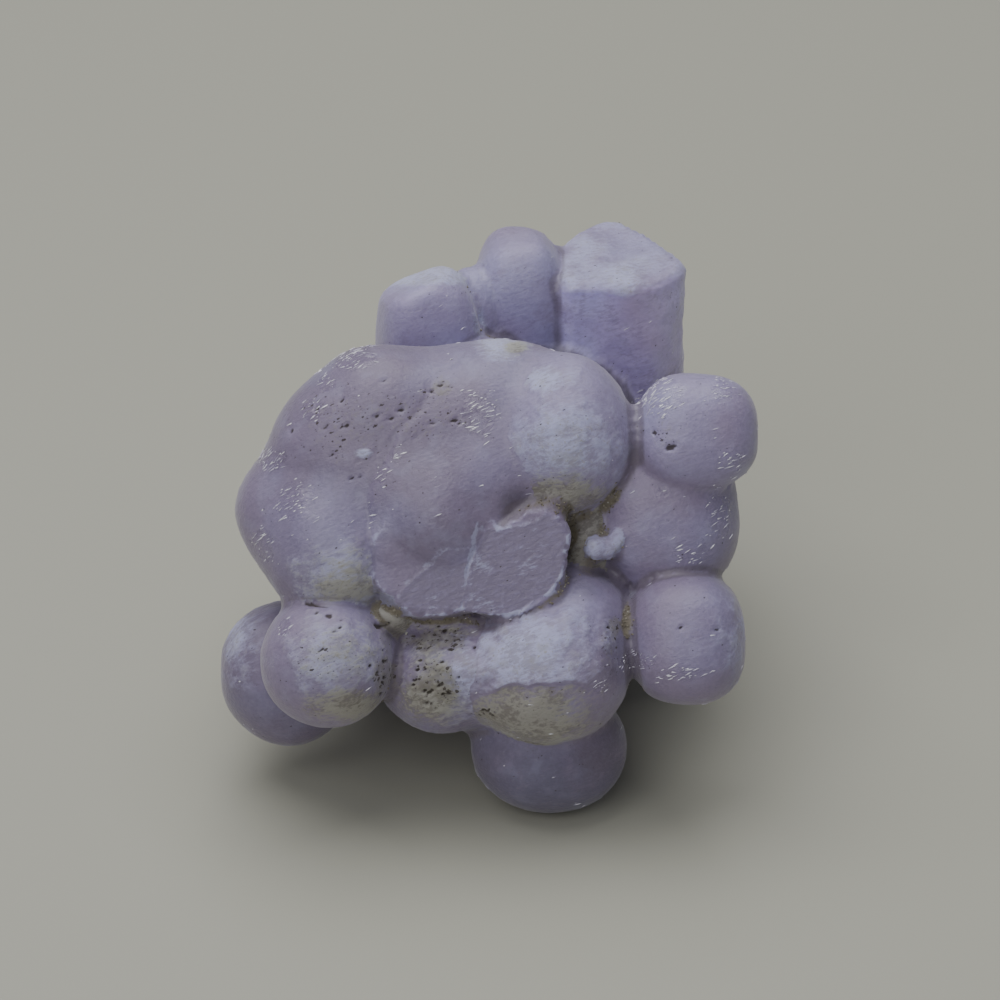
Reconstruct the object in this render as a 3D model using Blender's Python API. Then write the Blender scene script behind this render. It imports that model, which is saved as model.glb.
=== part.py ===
"""Grape agate: a cluster of rounded chalcedony grapes that grew together as one stone.

The showing face leans back from the table. Its grapes are placed from the plane of that face, and the
grapes of the back, the sides and the underside are placed from the table. All of them are fused in
one solid, which rests on one grape at the front and on the broken root that it grew from.
"""

import math
from collections import namedtuple

import bmesh
import bpy
from mathutils import Euler, Matrix, Vector, noise
from mathutils.bvhtree import BVHTree

MM = 0.001  # the lengths below are in millimetres

# Driving dimensions
FACE_LEAN = math.radians(33.0)  # how far the showing face leans back from upright
FACE_FOOT_Y = -20.6  # where the plane of the face, carried down, meets the table
SWELL = 0.045  # how far a grape departs from round, as a share of its radius
SWELL_LENGTH = 3.2  # the size of those swellings
GROWTH_VOXEL = 0.24  # the finest crease between two grapes
CREASE_SMOOTHING = 3
TRIANGLES = 9300
TABLE_THICKNESS = 6.0

# The centre and the three radii, both across, backwards and up; how square the form is (2 is round)
# and how far it is turned about those three axes, in degrees.
Grape = namedtuple("Grape", "name centre radii square turn", defaults=(2.0, (0.0, 0.0, 0.0)))

# The showing face: its upright axis is the lean of the face, and backwards is into the stone.
SHOWING = (
    Grape("dome", (-3.4, 7.3, 22.7), (8.1, 5.9, 6.2), 2.3),
    Grape("brow", (4.0, 3.4, 24.7), (3.35, 3.75, 3.95)),
    Grape("crest", (0.8, 5.2, 25.8), (4.5, 3.5, 3.75)),
    Grape("crest_left", (-2.6, 5.4, 25.9), (3.0, 3.2, 3.3)),
    Grape("shoulder", (-5.6, 4.9, 26.0), (3.4, 3.3, 3.4)),
    Grape("shoulder_low", (-7.7, 5.1, 24.1), (3.1, 3.0, 3.1)),
    Grape("left_cheek", (-10.0, 5.6, 21.0), (2.9, 2.9, 3.0)),
    Grape("left_jaw", (-7.8, 4.4, 19.0), (3.6, 3.4, 3.75)),
    Grape("centre", (-2.5, 3.8, 21.0), (3.5, 3.4, 3.6)),
    Grape("centre_right", (0.3, 4.3, 22.8), (3.1, 3.1, 3.0)),
    Grape("low_left", (-8.1, 3.7, 13.4), (3.4, 3.4, 3.45)),
    Grape("far_left", (-10.3, 8.8, 12.6), (3.6, 3.6, 3.75)),
    Grape("low_middle", (-2.4, 5.8, 13.0), (3.35, 3.3, 3.4)),
    Grape("low_middle_bump", (-1.1, 2.9, 13.0), (0.6, 0.6, 0.5)),
    Grape("low_right", (3.4, 5.2, 14.6), (3.95, 3.9, 3.95)),
    Grape("low_right_belly", (3.0, 4.4, 12.5), (3.95, 3.5, 3.4)),
    Grape("right_low", (10.1, 4.7, 14.4), (2.95, 3.0, 3.35), 2.5),
    Grape("right_middle", (8.9, 6.4, 20.9), (3.95, 3.6, 4.2), 2.3),
    Grape("right_high", (10.6, 4.0, 25.0), (3.1, 2.6, 2.95), 2.5),
    Grape("pocket_crystal", (6.3, 3.5, 19.3), (0.42, 0.45, 0.85), 2.6, (0.0, 28.0, 0.0)),
    Grape("pocket_crystal_small", (5.6, 4.2, 19.1), (0.5, 0.5, 0.6), 2.6),
)

# These grapes of the showing face are broken open, by one break.
BROKEN = (
    Grape("broken_left", (-2.9, 1.6, 18.5), (3.1, 3.0, 3.0)),
    Grape("broken_right", (1.2, 1.6, 17.9), (2.9, 3.0, 2.55)),
    Grape("broken_small", (2.5, 1.6, 19.6), (1.65, 2.2, 1.55)),
    Grape("broken_seam", (-0.7, 2.3, 19.6), (1.5, 2.2, 1.4)),
)
BREAK_PLACE = (0.0, 1.6, 18.4)  # from the plane of the face
BREAK_TIPS_DOWN = math.radians(9.0)

# The rest of the stone, placed from the table.
STANDING = (
    Grape("foot", (3.1, -9.9, 3.6), (4.0, 2.9, 3.65)),
    Grape("stub", (-3.2, 5.7, 17.8), (2.65, 2.4, 4.9), 2.8, (0.0, 0.0, 14.0)),
    Grape("back_lobe", (1.6, 9.4, 16.5), (2.5, 3.0, 6.2), 2.8),
    Grape("back_lobe_side", (-0.9, 7.8, 18.2), (1.8, 2.1, 3.2)),
    Grape("heart", (-0.6, -1.0, 12.0), (7.0, 5.6, 6.5)),
    Grape("heart_back", (1.4, 4.6, 10.5), (7.2, 5.8, 7.4)),
    Grape("root", (0.2, 2.6, 3.6), (5.6, 5.4, 5.2)),
    Grape("root_left", (-3.0, 3.9, 2.7), (2.6, 2.5, 3.6)),
    Grape("root_front", (2.1, -0.2, 2.9), (2.3, 2.1, 3.6)),
    Grape("root_right", (3.3, 4.7, 2.6), (2.2, 2.5, 3.4)),
    Grape("saddle", (-0.4, 3.6, 16.3), (3.2, 3.2, 3.0)),
    Grape("saddle_left", (-5.4, 2.2, 15.4), (3.4, 3.3, 3.1)),
    Grape("saddle_right", (4.4, 4.6, 14.8), (3.3, 3.2, 3.1)),
    Grape("under_left", (-7.0, -3.0, 6.2), (3.2, 3.3, 3.1)),
    Grape("under_middle", (-2.6, -3.4, 6.6), (3.3, 3.2, 3.2)),
    Grape("under_right", (3.2, -3.8, 7.0), (3.5, 3.3, 3.3)),
    Grape("side_left", (-8.4, 0.2, 13.2), (3.4, 3.6, 3.5)),
    Grape("side_left_low", (-8.3, 2.6, 7.4), (3.6, 3.5, 3.3)),
    Grape("side_left_bud", (-9.8, 4.3, 11.6), (1.7, 1.9, 1.8)),
    Grape("side_right", (8.3, 1.8, 12.4), (3.4, 3.5, 3.6)),
    Grape("side_right_low", (8.6, 2.8, 6.3), (3.5, 3.4, 3.4)),
    Grape("side_right_bud", (10.2, 5.4, 10.0), (1.8, 1.8, 1.9)),
    Grape("back_left", (-6.0, 6.8, 11.6), (3.7, 3.6, 3.6)),
    Grape("back_left_low", (-5.2, 7.9, 5.2), (3.3, 3.4, 3.3)),
    Grape("back_left_bud", (-8.4, 8.2, 7.9), (1.6, 1.7, 1.6)),
    Grape("back_middle", (-1.2, 10.2, 12.6), (3.4, 3.4, 3.5)),
    Grape("back_middle_bud", (-2.7, 11.2, 8.7), (1.9, 1.8, 1.8)),
    Grape("back_middle_low", (0.9, 9.6, 5.4), (3.7, 3.5, 3.6)),
    Grape("back_right", (7.0, 9.9, 11.2), (4.5, 3.8, 4.0)),
    Grape("back_right_low", (6.3, 7.6, 4.8), (3.3, 3.3, 3.2)),
    Grape("back_right_bud", (3.3, 12.0, 8.8), (1.7, 1.6, 1.7)),
)
STUB_BREAK = ((-3.0, 5.2, 22.4), (-0.36, 0.2, 0.91))  # a point of its broken top and the way it faces

# The angular column at the back: the outline of its flat top seen from above, and its two ends.
COLUMN_OUTLINE = ((3.6, 6.8), (8.7, 6.5), (10.6, 8.8), (9.3, 11.5), (6.5, 14.0), (3.9, 11.7))
COLUMN_TOP = 21.2
COLUMN_FOOT = 12.0
COLUMN_EDGE = 0.7  # the rounding of its upright edges

# The larger pits of the showing face: how far across and up the face each one is, and its radius.
PITS = (
    (9.2, 24.2, 0.26),
    (8.3, 25.0, 0.18),
    (-2.7, 27.1, 0.20),
    (-2.0, 27.3, 0.16),
    (-4.9, 25.7, 0.19),
    (-5.7, 25.8, 0.16),
    (-8.8, 26.2, 0.19),
    (-1.6, 25.5, 0.18),
    (7.6, 15.5, 0.21),
    (6.8, 15.2, 0.24),
    (6.9, 14.6, 0.20),
    (-8.3, 15.0, 0.19),
    (-1.5, 30.3, 0.18),
)
BEFORE_FACE = -30.0  # a place well in front of the showing face

LILAC = (0.42, 0.36, 0.50, 1.0)
STONE_ROUGHNESS = 0.45
UPRIGHT = Matrix.Identity(4)
FACE_FRAME = Matrix.Translation((0.0, FACE_FOOT_Y, 0.0)) @ Matrix.Rotation(-FACE_LEAN, 4, "X")


def clear_scene():
    for old in list(bpy.data.objects):
        bpy.data.objects.remove(old, do_unlink=True)


def add_form(stone, form):
    """Adds a finished closed form to the stone and frees it."""
    form_mesh = bpy.data.meshes.new("form")
    form.to_mesh(form_mesh)
    form.free()
    stone.from_mesh(form_mesh)
    bpy.data.meshes.remove(form_mesh)


def cut_off(form, place, way):
    """Takes off what lies beyond a plane and closes the cut with a flat face."""
    everything = form.verts[:] + form.edges[:] + form.faces[:]
    cut = bmesh.ops.bisect_plane(
        form, geom=everything, plane_co=place * MM, plane_no=way, clear_outer=True
    )
    rim = [part for part in cut["geom_cut"] if isinstance(part, bmesh.types.BMEdge)]
    bmesh.ops.contextual_create(form, geom=rim)
    bmesh.ops.recalc_face_normals(form, faces=form.faces[:])


def grape_form(grape, frame):
    """One closed grape, a ball that swells a little more in some places than in others."""
    spin = Euler([math.radians(angle) for angle in grape.turn]).to_matrix()
    centre = frame @ Vector(grape.centre)
    radii = Vector(grape.radii)
    ball = bmesh.new()
    bmesh.ops.create_icosphere(ball, subdivisions=4, radius=1.0)
    for point in ball.verts:
        way = point.co.normalized()
        reach = sum(abs(part) ** grape.square for part in way) ** (-1.0 / grape.square)
        place = frame @ (Vector(grape.centre) + spin @ (way * radii * reach))
        swell = 1.0 + SWELL * noise.noise(place / SWELL_LENGTH)
        point.co = (centre + (place - centre) * swell) * MM
    return ball


def column_form():
    """The angular column: its outline raised from foot to top, with rounded upright edges."""
    column = bmesh.new()
    corners = [column.verts.new((x * MM, y * MM, COLUMN_FOOT * MM)) for x, y in COLUMN_OUTLINE]
    foot = column.faces.new(corners)
    raised = bmesh.ops.extrude_face_region(column, geom=[foot])["geom"]
    top = [part for part in raised if isinstance(part, bmesh.types.BMVert)]
    bmesh.ops.translate(column, vec=(0.0, 0.0, (COLUMN_TOP - COLUMN_FOOT) * MM), verts=top)
    uprights = [e for e in column.edges if abs(e.verts[0].co.z - e.verts[1].co.z) > MM]
    bmesh.ops.bevel(
        column, geom=uprights, offset=COLUMN_EDGE * MM, segments=3, profile=0.5, affect="EDGES"
    )
    bmesh.ops.recalc_face_normals(column, faces=column.faces[:])
    return column


def grown_mesh():
    """Every grape in one mesh, each still a closed form that runs into its neighbours."""
    stone = bmesh.new()
    for grape in SHOWING:
        add_form(stone, grape_form(grape, FACE_FRAME))
    break_faces = Vector((0.0, -math.cos(BREAK_TIPS_DOWN), -math.sin(BREAK_TIPS_DOWN)))
    for grape in BROKEN:
        ball = grape_form(grape, FACE_FRAME)
        cut_off(ball, FACE_FRAME @ Vector(BREAK_PLACE), FACE_FRAME.to_3x3() @ break_faces)
        add_form(stone, ball)
    for grape in STANDING:
        ball = grape_form(grape, UPRIGHT)
        if grape.name == "stub":
            cut_off(ball, Vector(STUB_BREAK[0]), Vector(STUB_BREAK[1]))
        add_form(stone, ball)
    add_form(stone, column_form())
    mesh = bpy.data.meshes.new("grape_agate")
    stone.to_mesh(mesh)
    stone.free()
    return mesh


def chalcedony():
    """Milky lilac chalcedony."""
    material = bpy.data.materials.new("lilac_chalcedony")
    material.use_nodes = True
    shader = material.node_tree.nodes["Principled BSDF"]
    shader.inputs["Base Color"].default_value = LILAC
    shader.inputs["Roughness"].default_value = STONE_ROUGHNESS
    shader.inputs["Metallic"].default_value = 0.0
    return material


def take_away(stone, name, form):
    """Takes a form away from the stone."""
    mesh = bpy.data.meshes.new(name)
    form.to_mesh(mesh)
    form.free()
    cutter = bpy.data.objects.new(name, mesh)
    bpy.context.scene.collection.objects.link(cutter)
    cutter.hide_render = True
    cutter.display_type = "WIRE"
    taken = stone.modifiers.new(name, "BOOLEAN")
    taken.operation = "DIFFERENCE"
    taken.solver = "EXACT"
    taken.object = cutter


def table_form(stone):
    """A block below the table's surface, wider than the stone."""
    reach = max(stone.dimensions) * 2
    block = bmesh.new()
    bmesh.ops.create_cube(block, size=1.0)
    bmesh.ops.scale(block, vec=(reach, reach, TABLE_THICKNESS * MM), verts=block.verts)
    bmesh.ops.translate(block, vec=(0.0, 0.0, -TABLE_THICKNESS * MM / 2), verts=block.verts)
    return block


def pits_form(skin):
    """A small ball at each pit, centred on the skin that is met on the way into the face."""
    balls = bmesh.new()
    inwards = FACE_FRAME.to_3x3() @ Vector((0.0, 1.0, 0.0))
    for across, up, radius in PITS:
        start = FACE_FRAME @ Vector((across, BEFORE_FACE, up))
        met = skin.ray_cast(start * MM, inwards)[0]
        bmesh.ops.create_icosphere(
            balls, subdivisions=1, radius=radius * MM, matrix=Matrix.Translation(met)
        )
    return balls


def fuse(stone):
    """Fuses the grapes in one skin, softens its creases and thins it to the triangles it needs.

    The pits are then taken out of the skin, and the grapes below the table's surface are cut flat.
    """
    grow = stone.modifiers.new("grow_together", "REMESH")
    grow.mode = "VOXEL"
    grow.voxel_size = GROWTH_VOXEL * MM
    grow.use_smooth_shade = True
    soften = stone.modifiers.new("soften_creases", "SMOOTH")
    soften.factor = 0.5
    soften.iterations = CREASE_SMOOTHING
    bpy.context.view_layer.update()
    grown = bpy.context.evaluated_depsgraph_get()
    quads = len(stone.evaluated_get(grown).data.polygons)
    thin = stone.modifiers.new("thin", "DECIMATE")
    thin.ratio = TRIANGLES / (2 * quads)
    bpy.context.view_layer.update()
    skin = BVHTree.FromObject(stone, bpy.context.evaluated_depsgraph_get())
    take_away(stone, "pits", pits_form(skin))
    take_away(stone, "table", table_form(stone))


def main():
    clear_scene()
    mesh = grown_mesh()
    mesh.materials.append(chalcedony())
    mesh.shade_smooth()
    stone = bpy.data.objects.new("grape_agate", mesh)
    bpy.context.scene.collection.objects.link(stone)
    fuse(stone)


main()
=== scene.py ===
# %% [markdown]
# # Grape agate
# Grape agate is chalcedony, a milky kind of quartz, that grew as little balls, one against the
# other, like a bunch of grapes. This lesson rebuilds such a stone at a fine scale around the
# solid that the frame holds, gives it its lilac body, its white rinds, its broken face and its
# sandy crevices, and sets it on a plain floor.

import math
from collections import namedtuple

import bmesh
import bpy
import numpy as np
from mathutils import Euler, Matrix, Vector, noise


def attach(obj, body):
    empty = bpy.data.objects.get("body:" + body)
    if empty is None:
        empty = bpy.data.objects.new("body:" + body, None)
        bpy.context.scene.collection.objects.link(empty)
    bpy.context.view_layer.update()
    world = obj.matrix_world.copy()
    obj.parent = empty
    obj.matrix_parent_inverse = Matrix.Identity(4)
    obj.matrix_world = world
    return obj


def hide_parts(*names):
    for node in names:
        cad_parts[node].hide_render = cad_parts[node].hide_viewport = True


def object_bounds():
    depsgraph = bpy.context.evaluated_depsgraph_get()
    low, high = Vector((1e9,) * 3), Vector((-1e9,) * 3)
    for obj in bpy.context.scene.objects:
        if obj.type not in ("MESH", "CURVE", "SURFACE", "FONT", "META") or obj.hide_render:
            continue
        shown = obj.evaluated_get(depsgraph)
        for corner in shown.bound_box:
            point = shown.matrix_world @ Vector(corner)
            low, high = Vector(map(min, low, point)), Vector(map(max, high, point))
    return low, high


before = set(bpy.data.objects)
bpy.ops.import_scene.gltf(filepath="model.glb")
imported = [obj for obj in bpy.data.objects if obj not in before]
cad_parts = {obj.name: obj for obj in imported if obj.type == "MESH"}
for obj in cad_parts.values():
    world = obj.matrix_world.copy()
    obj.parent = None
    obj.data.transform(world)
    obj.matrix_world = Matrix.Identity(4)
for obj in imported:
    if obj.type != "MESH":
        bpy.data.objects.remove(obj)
cad_low, cad_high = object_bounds()
MM = 0.001  # every length below is in millimetres
print("solid's box in mm:", [round(x / MM, 2) for x in cad_high - cad_low])

# %% [markdown]
# ## Where things are
# The showing face of the stone leans back. Most of its features are easier to place on that
# leaning face than in the upright frame of the table, so one matrix turns places on the face,
# given across, backwards and up, into places on the table.

# %% The leaning face
FACE_LEAN = math.radians(33.0)
FACE_FOOT_Y = -20.6
FACE_FRAME = Matrix.Translation((0.0, FACE_FOOT_Y, 0.0)) @ Matrix.Rotation(-FACE_LEAN, 4, "X")
UPRIGHT = Matrix.Identity(4)
FACE_AXES = np.array(FACE_FRAME.to_3x3())
FACE_ORIGIN = np.array(FACE_FRAME.to_translation())


def on_face(points):
    """Places from the table, given across, backwards and up from the leaning face."""
    return (points - FACE_ORIGIN) @ FACE_AXES


# %% [markdown]
# ## The grapes
# Each grape is a ball with three radii. Some are a little square, as a soft cube is. The lists
# name every grape with its centre and radii, first those of the leaning face, then what fills its
# crevices, then the ones that the break opened, and last the rest of the stone, which is placed
# from the table.

# %% List the grapes
Grape = namedtuple("Grape", "name centre radii square turn", defaults=(2.0, (0.0, 0.0, 0.0)))

MERGED = (
    Grape("dome", (-3.4, 7.3, 22.7), (8.1, 5.9, 6.2), 2.3),
    Grape("crest", (0.8, 5.2, 26.0), (4.5, 3.5, 3.75)),
    Grape("crest_left", (-2.6, 5.4, 25.9), (3.0, 3.2, 3.3)),
    Grape("shoulder", (-5.6, 4.9, 26.0), (3.4, 3.3, 3.4)),
    Grape("shoulder_low", (-7.7, 5.1, 24.1), (3.1, 3.0, 3.1)),
    Grape("left_cheek", (-10.0, 5.6, 21.0), (2.9, 2.9, 3.0)),
    Grape("left_jaw", (-7.8, 4.4, 19.0), (3.6, 3.4, 3.75)),
    Grape("centre", (-2.5, 3.8, 21.0), (3.5, 3.4, 3.6)),
    Grape("centre_right", (0.3, 4.3, 22.8), (3.1, 3.1, 3.0)),
)
CRUSTED = (
    Grape("low_middle", (-2.4, 5.8, 13.0), (3.35, 3.3, 3.4)),
    Grape("low_middle_bump", (-1.1, 2.9, 13.0), (0.6, 0.6, 0.5)),
    Grape("low_right", (3.4, 5.2, 14.6), (3.95, 3.9, 3.95)),
    Grape("low_right_belly", (3.0, 4.4, 12.5), (3.95, 3.5, 3.4)),
)
BROW = Grape("brow", (4.0, 3.7, 24.85), (3.3, 3.45, 4.05))
SHOWING = (
    Grape("low_left", (-8.1, 3.7, 13.4), (3.4, 3.4, 3.45)),
    Grape("far_left", (-10.3, 8.8, 12.6), (3.6, 3.6, 3.75)),
    Grape("right_low", (10.1, 4.7, 14.4), (2.95, 3.0, 3.35), 2.5),
    Grape("right_middle", (8.9, 6.4, 20.9), (3.95, 3.6, 4.2), 2.3),
    Grape("right_high", (10.6, 4.0, 25.0), (3.1, 2.6, 2.95), 2.5),
    Grape("pocket_crystal", (6.3, 3.5, 19.3), (0.42, 0.45, 0.85), 2.6, (0.0, 28.0, 0.0)),
)
FILLINGS = (  # clay, stone and a small crystal, which are too small for the solid
    Grape("pocket_crystal_small", (5.45, 3.5, 19.05), (0.5, 0.6, 0.6), 2.6),
    Grape("clay_lens", (-5.0, 4.6, 15.7), (1.5, 2.3, 1.1)),
    Grape("gap_shelf", (-2.1, 4.6, 15.2), (2.9, 1.7, 1.1)),
    Grape("pocket_floor", (4.9, 5.6, 19.9), (1.7, 2.2, 2.6)),
)
BROKEN = (
    Grape("broken_left", (-2.9, 1.6, 18.5), (3.1, 3.0, 3.0)),
    Grape("broken_right", (0.95, 1.6, 17.9), (3.15, 3.0, 2.25), 2.0, (0.0, -25.0, 0.0)),
    Grape("broken_small", (2.5, 1.6, 19.6), (1.65, 2.2, 1.55)),
    Grape("broken_seam", (-0.7, 2.3, 19.6), (1.5, 2.2, 1.4)),
)
STUB = Grape("stub", (-3.2, 5.7, 17.8), (2.65, 2.4, 4.9), 2.8, (0.0, 0.0, 14.0))
STANDING = (
    Grape("foot", (3.1, -9.9, 3.6), (4.0, 2.9, 3.65)),
    Grape("back_lobe", (1.6, 9.4, 16.5), (2.5, 3.0, 6.2), 2.8),
    Grape("back_lobe_side", (-0.9, 7.8, 18.2), (1.8, 2.1, 3.2)),
    Grape("heart", (-0.6, -1.0, 12.0), (7.0, 5.6, 6.5)),
    Grape("heart_back", (1.4, 4.6, 10.5), (7.2, 5.8, 7.4)),
    Grape("root", (0.2, 2.6, 3.6), (5.6, 5.4, 5.2)),
    Grape("root_left", (-3.0, 3.9, 2.7), (2.6, 2.5, 3.6)),
    Grape("root_front", (2.1, -0.2, 2.9), (2.3, 2.1, 3.6)),
    Grape("root_right", (3.3, 4.7, 2.6), (2.2, 2.5, 3.4)),
    Grape("saddle", (-0.4, 3.6, 16.3), (3.2, 3.2, 3.0)),
    Grape("saddle_left", (-5.4, 2.2, 15.4), (3.4, 3.3, 3.1)),
    Grape("saddle_right", (3.6, 4.9, 14.0), (3.1, 3.1, 3.0)),
    Grape("under_left", (-7.0, -3.0, 6.2), (3.2, 3.3, 3.1)),
    Grape("under_middle", (-2.6, -3.4, 6.6), (3.3, 3.2, 3.2)),
    Grape("under_right", (3.2, -3.8, 7.0), (3.5, 3.3, 3.3)),
    Grape("side_left", (-8.4, 0.2, 13.2), (3.4, 3.6, 3.5)),
    Grape("side_left_low", (-8.3, 2.6, 7.4), (3.6, 3.5, 3.3)),
    Grape("side_left_bud", (-9.8, 4.3, 11.6), (1.7, 1.9, 1.8)),
    Grape("side_right", (8.3, 1.8, 12.4), (3.4, 3.5, 3.6)),
    Grape("side_right_low", (8.6, 2.8, 6.3), (3.5, 3.4, 3.4)),
    Grape("side_right_bud", (10.2, 5.4, 10.0), (1.8, 1.8, 1.9)),
    Grape("back_left", (-6.0, 6.8, 11.6), (3.7, 3.6, 3.6)),
    Grape("back_left_low", (-5.2, 7.9, 5.2), (3.3, 3.4, 3.3)),
    Grape("back_left_bud", (-8.4, 8.2, 7.9), (1.6, 1.7, 1.6)),
    Grape("back_middle", (-1.2, 10.2, 12.6), (3.4, 3.4, 3.5)),
    Grape("back_middle_bud", (-2.7, 11.2, 8.7), (1.9, 1.8, 1.8)),
    Grape("back_middle_low", (0.9, 9.6, 5.4), (3.7, 3.5, 3.6)),
    Grape("back_right", (7.0, 9.9, 11.2), (4.5, 3.8, 4.0)),
    Grape("back_right_low", (6.3, 7.6, 4.8), (3.3, 3.3, 3.2)),
    Grape("back_right_bud", (3.3, 12.0, 8.8), (1.7, 1.6, 1.7)),
)
ON_FACE = MERGED + (BROW,) + CRUSTED + SHOWING + FILLINGS + BROKEN
print("grapes:", len(ON_FACE) + 1 + len(STANDING))

# %% [markdown]
# ## How far is a point from the stone's skin?
# Balls that are only pushed together meet in hard creases. Real grapes flow into each other a
# little. One way to get that is to work out, for any point, its distance from every grape, and to
# blend the two nearest distances where they are almost the same. The skin is where the blended
# distance is zero. This is called a distance field, and it gives the direction out of the stone
# as well.

# %% The distance from one grape
SWELL = 0.045  # how far a grape departs from round, as a share of its radius
SWELL_LENGTH = 3.2
REACH = 3.0  # further than this from a grape, its distance is only rough

Form = namedtuple("Form", "name centre axes radii square")


def placed(grape, place):
    """A grape with its centre and its own axes on the table."""
    spin = Euler([math.radians(angle) for angle in grape.turn]).to_matrix()
    centre = np.array(place @ Vector(grape.centre))
    axes = np.array(place.to_3x3() @ spin)
    return Form(grape.name, centre, axes, np.array(grape.radii), grape.square)


def waves(points, length, shift=0.0):
    """Smooth noise from about -1 to 1, whose lumps are that long."""
    scaled = (points + shift) / length
    return np.array([noise.noise(place) for place in scaled])


def from_grape(points, form, swell):
    """Each point's distance from one grape, and the way out of it."""
    offset = points - form.centre
    far = np.linalg.norm(offset, axis=1)
    gap = far - form.radii.max()
    way = offset / np.maximum(far, 1e-9)[:, None]
    near = gap < REACH
    local = offset[near] @ form.axes
    share = np.maximum(np.abs(local) / form.radii, 1e-6)
    gauge = (share**form.square).sum(1) ** (1 / form.square)
    slope = np.sign(local) * share ** (form.square - 1) / form.radii
    slope *= gauge[:, None] ** (1 - form.square)
    steep = np.linalg.norm(slope, axis=1)
    gap[near] = (gauge / swell[near] - 1) / steep
    way[near] = (slope / steep[:, None]) @ form.axes.T
    return gap, way


# %% Blend two distances, or keep the further one
def joined(one, other, softness):
    """The blend of two forms: the nearer of the two, rounded where they are almost as near."""
    share = np.clip(0.5 + 0.5 * (other[0] - one[0]) / softness, 0.0, 1.0)
    gap = other[0] + (one[0] - other[0]) * share - softness * share * (1 - share)
    way = other[1] + (one[1] - other[1]) * share[:, None]
    return gap, way


def cut(one, other, softness):
    """What two forms have in common, with a rounded edge."""
    gap, way = joined((-one[0], -one[1]), (-other[0], -other[1]), softness)
    return -gap, -way


def from_plane(points, place, facing):
    """Each point's distance in front of a plane."""
    facing = np.array(facing) / np.linalg.norm(facing)
    return (points - np.array(place)) @ facing, np.tile(facing, (len(points), 1))


# %% [markdown]
# ## The whole skin
# The front grapes are merged softly, because there the photo shows one swelling mass with shallow
# grooves. The others keep tighter creases. Three planes break the stone: the broken face, the top
# of the stub and the table. A fourth holds the lower grapes back where the broken petals overlap
# them. The column at the back is a prism with rounded edges.

# %% Planes and the column
BREAK_PLACE = (0.0, 1.6, 18.4)  # from the leaning face, as the plane under the break is
BREAK_TIPS_DOWN = math.radians(9.0)
BREAK_FACING = (0.0, -math.cos(BREAK_TIPS_DOWN), -math.sin(BREAK_TIPS_DOWN))
UNDER_PLACE, UNDER_FACING = (2.2, 2.35, 15.9), (-0.3, -0.7, 0.65)
STUB_BREAK = ((-3.0, 5.2, 22.4), (-0.36, 0.2, 0.91))
COLUMN_OUTLINE = ((3.6, 6.8), (8.7, 6.5), (10.6, 8.8), (9.3, 11.5), (6.5, 14.0), (3.9, 11.7))
COLUMN_FOOT, COLUMN_TOP = 11.0, 21.2
COLUMN_EDGE, TOP_EDGE, UNDER_EDGE = 1.1, 0.5, 0.6  # how rounded the cuts are
MERGE, BROW_MERGE, CRUSTED_MERGE = 1.3, 0.9, 1.8  # how softly the grapes of the face flow together
CREASE, EDGE = 0.3, 0.10  # how soft the other joints and the broken edges are


def from_column(points):
    """Each point's distance from the column, whose foot is inside the stone."""
    gap = None
    for (x1, y1), (x2, y2) in zip(COLUMN_OUTLINE, COLUMN_OUTLINE[1:] + COLUMN_OUTLINE[:1]):
        side = from_plane(points, (x1, y1, 0.0), (y2 - y1, x1 - x2, 0.0))
        gap = side if gap is None else cut(gap, side, COLUMN_EDGE)
    return cut(gap, from_plane(points, (0.0, 0.0, COLUMN_TOP), (0.0, 0.0, 1.0)), TOP_EDGE)


def facing_down(points, height):
    return from_plane(points, (0.0, 0.0, height), (0.0, 0.0, -1.0))


# %% The skin's distance
forms = {
    grape.name: placed(grape, FACE_FRAME if grape in ON_FACE else UPRIGHT)
    for grape in ON_FACE + (STUB,) + STANDING
}


def plane_on_face(place, facing):
    """A plane of the leaning face, as its place and facing on the table."""
    return np.array(FACE_FRAME @ Vector(place)), np.array(FACE_FRAME.to_3x3() @ Vector(facing))


BREAK_PLANE = plane_on_face(BREAK_PLACE, BREAK_FACING)
UNDER_PLANE = plane_on_face(UNDER_PLACE, UNDER_FACING)


def from_group(points, group, swell, softness):
    whole = None
    for grape in group:
        one = from_grape(points, forms[grape.name], swell)
        whole = one if whole is None else joined(whole, one, softness)
    return whole


def from_crusted(points, swell):
    """The lower grapes, which step back a little where the broken petal overlaps them."""
    whole = from_group(points, CRUSTED, swell, CRUSTED_MERGE)
    return cut(whole, from_plane(points, *UNDER_PLANE), UNDER_EDGE)


def from_skin(points, swell=None):
    """Each point's distance from the skin of the whole stone, and the way out of it."""
    if swell is None:
        swell = 1.0 + SWELL * waves(points, SWELL_LENGTH)
    whole = from_group(points, MERGED, swell, MERGE)
    whole = joined(whole, from_group(points, (BROW,), swell, BROW_MERGE), BROW_MERGE)
    whole = joined(whole, from_crusted(points, swell), CREASE)
    whole = joined(whole, from_group(points, SHOWING + FILLINGS, swell, CREASE), CREASE)
    whole = joined(whole, from_group(points, STANDING, swell, CREASE), CREASE)
    opened = from_group(points, BROKEN, swell, EDGE)
    opened = cut(opened, from_plane(points, *BREAK_PLANE), EDGE)
    whole = joined(whole, opened, EDGE)
    stub = cut(from_grape(points, forms["stub"], swell), from_plane(points, *STUB_BREAK), TOP_EDGE)
    whole = joined(whole, stub, CREASE)
    column = cut(from_column(points), facing_down(points, COLUMN_FOOT), EDGE)
    whole = joined(whole, column, CREASE)
    gap, way = cut(whole, facing_down(points, 0.0), EDGE)
    return gap, way / np.linalg.norm(way, axis=1)[:, None]


print("joined into one skin:", len(forms), "grapes and the column")

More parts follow.
